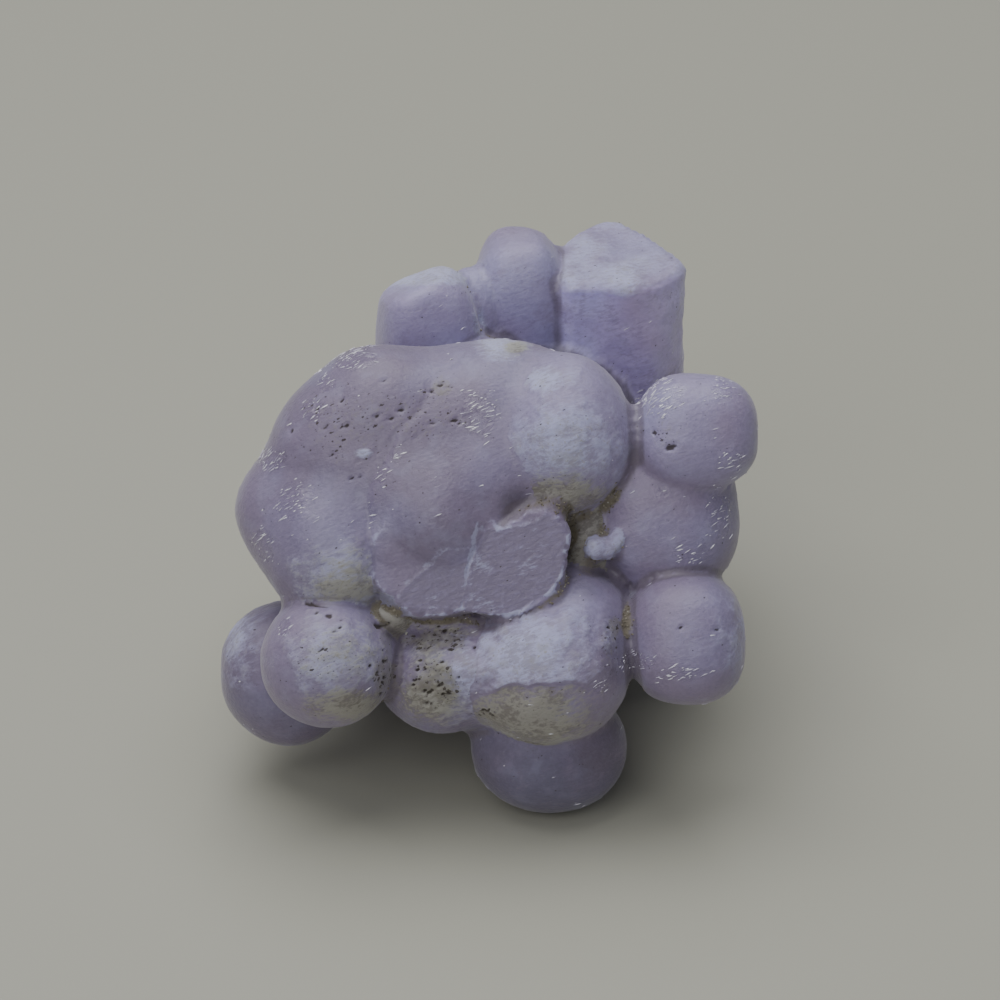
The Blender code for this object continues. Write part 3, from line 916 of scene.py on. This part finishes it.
def step(tree, value, low, high, bottom=0.0, top=1.0):
    """A smooth step of a value, from bottom at low to top at high."""
    inputs = {"Value": value, "From Min": low, "From Max": high, "To Min": bottom, "To Max": top}
    node = add(tree, "ShaderNodeMapRange", inputs, interpolation_type="SMOOTHSTEP")
    return node.outputs["Result"]


def mixed(tree, share, one, other, blend="MIX"):
    """A mix of two colours."""
    inputs = {0: share, 6: one, 7: other}
    node = add(tree, "ShaderNodeMix", inputs, data_type="RGBA", blend_type=blend)
    return node.outputs[2]


def over(tree, body, colour, mask, most):
    """A colour laid over another where a mask is high, at most by that share."""
    return mixed(tree, maths(tree, "MULTIPLY", mask, most), body, colour)


def grey(tree, value):
    """One value as a colour."""
    return add(tree, "ShaderNodeCombineXYZ", {0: value, 1: value, 2: value}).outputs[0]


# %% Patterns
def grain(tree, place, length, detail=2.0, rough=0.5):
    """Noise whose lumps are that many millimetres long."""
    inputs = {"Vector": place, "Scale": 1.0 / length, "Detail": detail, "Roughness": rough}
    return add(tree, "ShaderNodeTexNoise", inputs).outputs["Fac"]


def cells_of(tree, place, scale):
    """Random cells, about that many to the millimetre."""
    return add(tree, "ShaderNodeTexVoronoi", {"Vector": place, "Scale": scale}).outputs


def stretched(tree, place, share):
    """A place for patterns that are drawn out along its first axis."""
    inputs = {"Vector": place, "Scale": (share, 1.0, 1.0)}
    return add(tree, "ShaderNodeMapping", inputs).outputs[0]


def millimetres(tree):
    """Object coordinates in millimetres."""
    coordinates = add(tree, "ShaderNodeTexCoord").outputs["Object"]
    inputs = {"Vector": coordinates, "Scale": (1.0 / MM,) * 3}
    return add(tree, "ShaderNodeMapping", inputs).outputs["Vector"]


# %% The shared group
def mottle_group():
    """Soft spots: 0 where the noise is below Low, and 1 where it is above High."""
    tree = bpy.data.node_groups.new("mottle", "ShaderNodeTree")
    for label in ("Length", "Low", "High"):
        tree.interface.new_socket(label, in_out="INPUT", socket_type="NodeSocketFloat")
    tree.interface.new_socket("Share", in_out="OUTPUT", socket_type="NodeSocketFloat")
    given = tree.nodes.new("NodeGroupInput").outputs
    scale = maths(tree, "DIVIDE", 1.0, given["Length"])
    noise_inputs = {"Vector": millimetres(tree), "Scale": scale, "Detail": 2.0}
    spotted = add(tree, "ShaderNodeTexNoise", noise_inputs).outputs["Fac"]
    out = tree.nodes.new("NodeGroupOutput")
    tree.links.new(step(tree, spotted, given["Low"], given["High"]), out.inputs["Share"])
    return tree


mottle = mottle_group()


def mottled(tree, length, low, high):
    """The shared group's spots, that many millimetres across."""
    inputs = {"Length": length, "Low": low, "High": high}
    return add(tree, "ShaderNodeGroup", inputs, node_tree=mottle).outputs["Share"]


def new_material(name):
    """An empty material with its Principled shader."""
    material = bpy.data.materials.new(name)
    material.use_nodes = True
    tree = material.node_tree
    return material, tree, tree.nodes["Principled BSDF"]


# %% [markdown]
# ## Chalcedony
# The body is milky lilac and lets a little light in, so its edges glow: that is subsurface
# scattering with a depth of under a millimetre. Clouds of a pinker and a bluer lilac run through
# it. Over it lie the rinds (one small one a painted highlight), the beige stains, painted shade in
# the creases, the sand in the creases, the dark specks and a painted shadow under the broken
# petals, each a mask that fine noise breaks up.

# %% Colours
LILAC = (0.285, 0.248, 0.400, 1.0)
PINK_LILAC = (0.270, 0.220, 0.338, 1.0)
BLUE_LILAC = (0.310, 0.288, 0.460, 1.0)
RIND_WHITE = (0.445, 0.455, 0.665, 1.0)
RIND_GREY = (0.350, 0.345, 0.470, 1.0)
BEIGE = (0.325, 0.315, 0.260, 1.0)
CLAY_BROWN = (0.195, 0.180, 0.142, 1.0)
SAND = (0.190, 0.165, 0.118, 1.0)
# painted shade in the creases
CREASE_SHADE_PURPLE = (0.125, 0.100, 0.120, 1.0)
BROKEN_PURPLE = (0.222, 0.187, 0.285, 1.0)
SPECK_BROWN = (0.040, 0.028, 0.020, 1.0)

# %% Fine grain, growth streaks and clouds
chalcedony, tree, skin = new_material("lilac_chalcedony")
place = millimetres(tree)
streak_turn = (Matrix.Rotation(STREAK_RISE, 3, "Y") @ FACE_FRAME.to_3x3().inverted()).to_euler()
turned = add(tree, "ShaderNodeMapping", {"Vector": place, "Rotation": streak_turn}).outputs[0]
streaked = stretched(tree, turned, 0.3)
streaks = grain(tree, streaked, 0.16, 3.0, 0.65)
fine = grain(tree, place, 0.22, 2.0, 0.6)
clouds = grain(tree, place, 1.5)
broad_clouds = grain(tree, place, 4.5, 1.0)
fine_lift, streak_lift, cloud_lift = (
    maths(tree, "SUBTRACT", pattern, 0.5) for pattern in (fine, streaks, clouds)
)
print("nodes for the patterns:", len(tree.nodes))

# %% The lilac body
hue = maths(tree, "MAXIMUM", maths(tree, "MINIMUM", fact(tree, "tone_and_shading"), 0.7), -0.5)
toned = plus(tree, broad_clouds, hue, 0.16)
body = mixed(tree, step(tree, toned, 0.34, 0.56), PINK_LILAC, LILAC)
body = mixed(tree, step(tree, toned, 0.56, 0.78), body, BLUE_LILAC)
# the tone lightens or darkens the body, and so carries its painted shade and light
bright = plus(tree, 1.0, fact(tree, "tone_and_shading"), 0.14)
grainy_tone = step(tree, maths(tree, "ADD", fine, streaks), 0.75, 1.25, 0.93, 1.07)
for lightness in (bright, grainy_tone):
    body = mixed(tree, 1.0, body, grey(tree, lightness), "MULTIPLY")
body = over(tree, body, RIND_WHITE, mottled(tree, 1.1, 0.50, 0.72), 0.12)
dusky = step(tree, plus(tree, clouds, streak_lift, 0.8), 0.46, 0.22)
body = over(tree, body, PINK_LILAC, dusky, 0.35)

# %% The broken face, its rim and its veins
angle = maths(tree, "MULTIPLY", fact(tree, "fibre_angle"), 9.0)
depth = maths(tree, "MULTIPLY", fact(tree, "rim_depth"), 0.8)
fibre_place = add(tree, "ShaderNodeCombineXYZ", {"X": angle, "Y": depth}).outputs[0]
fibres = grain(tree, fibre_place, 1.0, 3.0, 0.6)
fibre_lift = plus(tree, streak_lift, maths(tree, "SUBTRACT", fibres, 0.5), 0.35)
petal = mixed(tree, step(tree, fibre_lift, -0.10, 0.35), BROKEN_PURPLE, LILAC)
white_streaks = step(tree, maths(tree, "ADD", streaks, clouds), 1.12, 1.32, 0.0, 0.6)
petal = mixed(tree, white_streaks, petal, RIND_WHITE)
body = mixed(tree, step(tree, fact(tree, "broken"), 0.2, 0.9), body, petal)
rimmed = step(tree, plus(tree, fact(tree, "rim"), fine_lift, 0.9), 0.10, 0.60)
body = over(tree, body, RIND_WHITE, rimmed, 0.75)
veined = step(tree, plus(tree, fact(tree, "vein"), fine_lift, 0.9), 0.35, 0.80)
body = over(tree, body, RIND_WHITE, veined, 0.6)

# %% Rinds
rind_edge = plus(tree, plus(tree, fact(tree, "rind"), streak_lift, 0.9), cloud_lift, 0.7)
rinded = step(tree, rind_edge, -0.15, 0.80)
crumbs = plus(tree, plus(tree, streaks, fine, 0.5), clouds, 0.9)
chalk = mixed(tree, step(tree, crumbs, 1.26, 1.02), RIND_WHITE, RIND_GREY)
chalk = mixed(tree, step(tree, fine, 0.58, 0.74, 0.0, 0.7), chalk, BEIGE)
chalk = over(tree, chalk, BEIGE, mottled(tree, 0.7, 0.50, 0.72), 0.35)
body = over(tree, body, chalk, rinded, 0.9)

# %% Stains, painted shade in the creases, and sand
stained = step(tree, plus(tree, fact(tree, "stain"), streak_lift, 1.4), -0.05, 0.65)
clay = mixed(tree, step(tree, crumbs, 1.28, 1.04), BEIGE, CLAY_BROWN)
body = over(tree, body, clay, stained, 0.85)
# painted shade: the skin turns dark purple where the stone closes in over it
crease_shading = step(tree, fact(tree, "crease_shade"), 0.1, 1.0, 0.0, 0.6)
body = mixed(tree, crease_shading, body, CREASE_SHADE_PURPLE)
sanded = step(tree, plus(tree, fact(tree, "sand"), fine_lift, 0.9), 0.05, 0.85)
body = over(tree, body, SAND, sanded, 0.9)

# %% Dark specks in two sizes, mud round them, and the pits, cracks and painted shadow
speck_place = stretched(tree, turned, 0.5)
cells = cells_of(tree, speck_place, 3.4)
chance = add(tree, "ShaderNodeSeparateColor", {"Color": cells["Color"]}).outputs["Red"]
speck_size = step(tree, plus(tree, fact(tree, "speck"), chance, -0.5), -0.05, 0.95, 0.0, 0.30)
speck_edge = plus(tree, cells["Distance"], fine_lift, 0.9)
specked = step(tree, maths(tree, "SUBTRACT", speck_size, speck_edge), -0.03, 0.06)
dot_edge = plus(tree, cells_of(tree, speck_place, 7.5)["Distance"], fine_lift, 0.7)
dotted = step(tree, plus(tree, dot_edge, fact(tree, "speck"), -0.22), 0.05, -0.05)
specked = maths(tree, "MAXIMUM", specked, maths(tree, "MULTIPLY", dotted, 0.8))
# the pit fact also carries the painted shadow under the petals
dark = maths(tree, "MAXIMUM", specked, step(tree, fact(tree, "pit"), 0.25, 0.75))
muddy = step(tree, plus(tree, fact(tree, "speck"), fine_lift, 1.2), 0.55, 1.2, 0.0, 0.6)
body = mixed(tree, muddy, body, CLAY_BROWN)
body = over(tree, body, SPECK_BROWN, dark, 0.85)
print("nodes with the colours:", len(tree.nodes))

# %% [markdown]
# ## Its gloss
# The bare skin is waxy, the rind is matt like chalk, and the sugary places are a crowd of tiny
# facets. A facet is flat and tilted, so its height is a tilted plane: the place inside its cell,
# seen along that cell's own random direction.

# %% Facets
def vectors(tree, operation, one, other):
    return add(tree, "ShaderNodeVectorMath", {0: one, 1: other}, operation=operation).outputs


facets = cells_of(tree, streaked, 7.0)
inside = vectors(tree, "SUBTRACT", streaked, facets["Position"])[0]
tilt = vectors(tree, "SUBTRACT", facets["Color"], (0.5, 0.5, 0.5))[0]
facet_height = vectors(tree, "DOT_PRODUCT", inside, tilt)["Value"]
glinting = step(tree, fact(tree, "glint"), 0.1, 0.6)

# %% Roughness
WAXY = 0.44
matt = rinded
for mask in (stained, sanded, dark):
    matt = maths(tree, "MAXIMUM", matt, mask)
roughness = plus(tree, plus(tree, WAXY, streak_lift, 0.35), matt, 0.40)
roughness = plus(tree, roughness, glinting, -0.20)

# %% Bump in millimetres, and the shader
FINE_BUMP, STREAK_BUMP, FACET_BUMP = 0.030, 0.028, 0.30
crusty = step(tree, maths(tree, "MAXIMUM", fact(tree, "rind"), fact(tree, "stain")), -0.15, 0.8)
height = plus(tree, maths(tree, "MULTIPLY", fine, FINE_BUMP), streaks, STREAK_BUMP)
height = plus(tree, height, maths(tree, "MULTIPLY", streaks, crusty), STREAK_BUMP)
height = plus(tree, height, maths(tree, "MULTIPLY", facet_height, glinting), FACET_BUMP)
bump = add(tree, "ShaderNodeBump", {"Height": height, "Distance": MM, "Strength": 1.0})
fill(
    tree,
    skin,
    {
        "Base Color": body,
        "Roughness": roughness,
        "Normal": bump.outputs["Normal"],
        "Subsurface Weight": 0.45,
        "Subsurface Radius": (1.0, 0.9, 1.1),
        "Subsurface Scale": 0.9 * MM,
        "Sheen Weight": 0.25,
        "Sheen Roughness": 0.4,
        "IOR": 1.54,
    },
)
stone.data.materials.append(chalcedony)
print("material nodes:", len(tree.nodes))

# %% [markdown]
# ## Sugary quartz and sand
# Two things are scattered over the stone with Geometry Nodes: tiny pointed quartz crystals where
# the skin glints, and grains of sand in the creases. The crystals are near white, so they are
# sugary quartz and painted glints at once. One tree serves both. It spreads points by a density
# attribute, sets a small shape on each, turned along the skin, and makes the copies real.

# %% The small shapes
def double_point(name, sides):
    """A crystal one unit long with a point at both ends."""
    shape = bmesh.new()
    ring = [
        shape.verts.new((0.0, 0.5 * math.cos(turn), 0.5 * math.sin(turn)))
        for turn in (2 * math.pi * side / sides for side in range(sides))
    ]
    for tip, order in ((0.5, 1), (-0.5, -1)):
        end = shape.verts.new((tip, 0.0, 0.0))
        for here, there in zip(ring, ring[1:] + ring[:1]):
            shape.faces.new((here, there, end)[::order])
    return bpy.data.objects.new(name, mesh_of(name, shape))


def sand_grain(name):
    """A rough grain about one unit across."""
    shape = bmesh.new()
    bmesh.ops.create_icosphere(shape, subdivisions=1, radius=0.5)
    for corner in shape.verts:
        corner.co *= 1.0 + 0.35 * noise.noise(corner.co * 3.1)
    return bpy.data.objects.new(name, mesh_of(name, shape))


crystal_shape = double_point("crystal_shape", 6)
grain_shape = sand_grain("grain_shape")
print("faces:", len(crystal_shape.data.polygons), "and", len(grain_shape.data.polygons))

# %% The finishes of crystals and sand
# painted highlight: the crystals' near-white colour stands in for glints as well as for pale sugary
# quartz
SUGAR_GREY, SUGAR_AND_GLINT_WHITE = (0.55, 0.52, 0.66, 1.0), (0.95, 0.94, 1.0, 1.0)
SAND_DARK, SAND_LIGHT = (0.14, 0.120, 0.090, 1.0), (0.27, 0.245, 0.195, 1.0)
SAND_PALE = (0.42, 0.41, 0.38, 1.0)

quartz_and_glints, tree, glassy = new_material("quartz_sugar_and_glints")
cloudy = mottled(tree, 0.5, 0.3, 0.7)
fill(
    tree,
    glassy,
    {
        "Base Color": mixed(tree, cloudy, SUGAR_GREY, SUGAR_AND_GLINT_WHITE),
        "Roughness": step(tree, cloudy, 0.0, 1.0, 0.10, 0.22),
        "IOR": 1.54,
        "Coat Weight": 0.6,
        "Coat Roughness": 0.06,
    },
)

sand_finish, tree, grainy = new_material("brown_sand")
ochre = mottled(tree, 0.28, 0.35, 0.60)
sandy = mixed(tree, ochre, SAND_DARK, SAND_LIGHT)
sandy = mixed(tree, mottled(tree, 0.28, 0.62, 0.70), sandy, SAND_PALE)
fill(tree, grainy, {"Base Color": sandy, "Roughness": step(tree, ochre, 0.0, 1.0, 0.75, 0.95)})
print("finishes:", [material.name for material in bpy.data.materials])


# %% The scattering tree
def random_vector(tree, low, high, seed):
    inputs = {0: low, 1: high, "Seed": seed}
    return add(tree, "FunctionNodeRandomValue", inputs, data_type="FLOAT_VECTOR").outputs[0]


def scatter_tree(name):
    """Spreads a shape over a mesh, thickly where a density attribute is high."""
    tree = bpy.data.node_groups.new(name, "GeometryNodeTree")
    face = tree.interface
    face.new_socket("Geometry", in_out="OUTPUT", socket_type="NodeSocketGeometry")
    for label, kind in (
        ("Geometry", "NodeSocketGeometry"),
        ("Shape", "NodeSocketObject"),
        ("Density", "NodeSocketFloat"),
        ("Most per area", "NodeSocketFloat"),
        ("Smallest", "NodeSocketVector"),
        ("Largest", "NodeSocketVector"),
        ("Along", "NodeSocketVector"),
        ("Unruly", "NodeSocketFloat"),
        ("Seed", "NodeSocketInt"),
        ("Finish", "NodeSocketMaterial"),
    ):
        face.new_socket(label, in_out="INPUT", socket_type=kind)
    given = tree.nodes.new("NodeGroupInput").outputs
    amount = maths(tree, "MULTIPLY", given["Density"], given["Most per area"])
    spread = add(
        tree,
        "GeometryNodeDistributePointsOnFaces",
        {"Mesh": given["Geometry"], "Density": amount, "Seed": given["Seed"]},
        distribute_method="RANDOM",
    ).outputs
    upright = add(tree, "FunctionNodeAlignRotationToVector", {"Vector": spread["Normal"]}, axis="Z")
    along = add(
        tree,
        "FunctionNodeAlignRotationToVector",
        {"Rotation": upright.outputs[0], "Vector": given["Along"]},
        axis="X",
        pivot_axis="Z",
    )
    turn = random_vector(tree, (-1.0, -1.0, -1.0), (1.0, 1.0, 1.0), 3)
    inputs = {0: turn, "Scale": given["Unruly"]}
    loose = add(tree, "ShaderNodeVectorMath", inputs, operation="SCALE")
    as_turn = add(tree, "FunctionNodeEulerToRotation", {0: loose.outputs[0]})
    inputs = {0: along.outputs[0], 1: as_turn.outputs[0]}
    turned = add(tree, "FunctionNodeRotateRotation", inputs, rotation_space="LOCAL")
    shape = add(tree, "GeometryNodeObjectInfo", {"Object": given["Shape"]})
    inputs = {
        "Points": spread["Points"],
        "Instance": shape.outputs["Geometry"],
        "Rotation": turned.outputs[0],
        "Scale": random_vector(tree, given["Smallest"], given["Largest"], 5),
    }
    copies = add(tree, "GeometryNodeInstanceOnPoints", inputs)
    real = add(tree, "GeometryNodeRealizeInstances", {"Geometry": copies.outputs[0]})
    inputs = {"Geometry": real.outputs[0], "Material": given["Finish"]}
    done = add(tree, "GeometryNodeSetMaterial", inputs)
    out = tree.nodes.new("NodeGroupOutput")
    tree.links.new(done.outputs[0], out.inputs[0])
    return tree


scatter_over = scatter_tree("scatter_over")
print("nodes that scatter:", len(scatter_over.nodes))


# %% A scattered piece as a plain mesh
def scattered(name, ground, settings, density):
    """A plain mesh piece of copies spread over the ground, thickly where the density is high."""
    spreader = in_scene(name, ground.data)
    scatter = spreader.modifiers.new("scatter", "NODES")
    scatter.node_group = scatter_over
    sockets = {
        item.name: item.identifier
        for item in scatter_over.interface.items_tree
        if item.in_out == "INPUT"
    }
    for label, value in settings.items():
        scatter[sockets[label]] = value
    scatter[sockets["Density"] + "_use_attribute"] = True
    scatter[sockets["Density"] + "_attribute_name"] = density
    view = bpy.context.evaluated_depsgraph_get()
    mesh = bpy.data.meshes.new_from_object(spreader.evaluated_get(view), depsgraph=view)
    bpy.data.objects.remove(spreader)
    mesh.name = name
    for corner in mesh.vertices:  # nothing sticks out of the solid's box
        corner.co = [min(max(x, low), high) for x, low, high in zip(corner.co, cad_low, cad_high)]
    print(name, "triangles:", sum(len(face.vertices) - 2 for face in mesh.polygons))
    return in_scene(name, mesh)


# %% Spread the crystals and the sand
STREAK_WAY = FACE_FRAME.to_3x3() @ Vector((math.cos(STREAK_RISE), 0.0, math.sin(STREAK_RISE)))
druse = scattered(
    "druse",
    stone,
    {
        "Shape": crystal_shape,
        "Most per area": 12.0 / MM**2,
        "Smallest": (0.05 * MM, 0.03 * MM, 0.03 * MM),
        "Largest": (0.60 * MM, 0.08 * MM, 0.08 * MM),
        "Along": STREAK_WAY,
        "Unruly": 0.3,
        "Seed": 4,
        "Finish": quartz_and_glints,
    },
    "glint",
)
grit = scattered(
    "grit",
    stone,
    {
        "Shape": grain_shape,
        "Most per area": 26.0 / MM**2,
        "Smallest": (0.07 * MM, 0.07 * MM, 0.06 * MM),
        "Largest": (0.20 * MM, 0.18 * MM, 0.15 * MM),
        "Along": STREAK_WAY,
        "Unruly": 3.0,
        "Seed": 9,
        "Finish": sand_finish,
    },
    "sand",
)

# %% [markdown]
# ## Tie the pieces to the solid
# The stone replaces the frame's solid. The crystals and the sand ride on the same body.

# %% Ride and replace
for piece in (stone, druse, grit):
    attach(piece, "root")
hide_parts("grape_agate")

# %% [markdown]
# ## Floor, light and camera
# A plain pale floor and one large soft light from above and a little behind show the stone as a
# daylight window would, with a softer light from the front left and a faint sky all round. The
# camera looks down at the stone by 33 degrees, straight at its leaning face, from far enough that
# nothing is stretched.

# %% Floor
FLOOR_HALF = 0.3
FLOOR_GREY = (0.40, 0.395, 0.335, 1.0)
corners = [(x * FLOOR_HALF, y * FLOOR_HALF, 0.0) for x, y in ((-1, -1), (1, -1), (1, 1), (-1, 1))]
floor_mesh = bpy.data.meshes.new("floor")
floor_mesh.from_pydata(corners, [], [(0, 1, 2, 3)])
floor = in_scene("floor", floor_mesh)
floor_paint, tree, paint = new_material("pale_floor")
fill(tree, paint, {"Base Color": FLOOR_GREY, "Roughness": 0.6})
floor_mesh.materials.append(floor_paint)


# %% Lights and sky
LIT = (0.0, 0.0, 0.01)  # both lights are turned to this place in the stone
SKY_BLUE, SKY_STRENGTH = (0.80, 0.84, 0.90, 1.0), 0.20


def soft_light(name, place, size, power):
    lamp = bpy.data.lights.new(name, "AREA")
    lamp.shape = "RECTANGLE"
    lamp.size, lamp.size_y = size
    lamp.energy = power
    light = in_scene(name, lamp)
    light.location = place
    light.rotation_euler = (Vector(LIT) - Vector(place)).to_track_quat("-Z", "Y").to_euler()


soft_light("window", (-0.04, 0.06, 0.30), (0.34, 0.30), 0.95)
soft_light("front", (-0.10, -0.24, 0.20), (0.24, 0.24), 0.36)
sky = bpy.data.worlds.new("sky")
sky.use_nodes = True
background = sky.node_tree.nodes["Background"]
fill(sky.node_tree, background, {"Color": SKY_BLUE, "Strength": SKY_STRENGTH})
bpy.context.scene.world = sky

# %% Camera
CAMERA_AIM = (0.6, 0.0, 21.5)  # on the leaning face
CAMERA_DISTANCE = 280.0
SEEN_WIDTH = 50.0
SENSOR = 36.0
camera_data = bpy.data.cameras.new("camera")
camera_data.sensor_width = SENSOR
camera_data.lens = SENSOR * CAMERA_DISTANCE / SEEN_WIDTH
camera_data.clip_start = 0.001
camera = in_scene("camera", camera_data)
towards = FACE_FRAME.to_3x3() @ Vector((0.0, -1.0, 0.0))
camera.location = (FACE_FRAME @ Vector(CAMERA_AIM) + CAMERA_DISTANCE * towards) * MM
camera.rotation_euler = (-towards).to_track_quat("-Z", "Y").to_euler()
bpy.context.scene.camera = camera
print("camera's lens in mm:", round(camera_data.lens, 1))

# %% [markdown]
# ## Sizes
# The box of the solid is printed once more.

print("solid's box:", [round(x / MM, 2) for x in cad_high - cad_low])
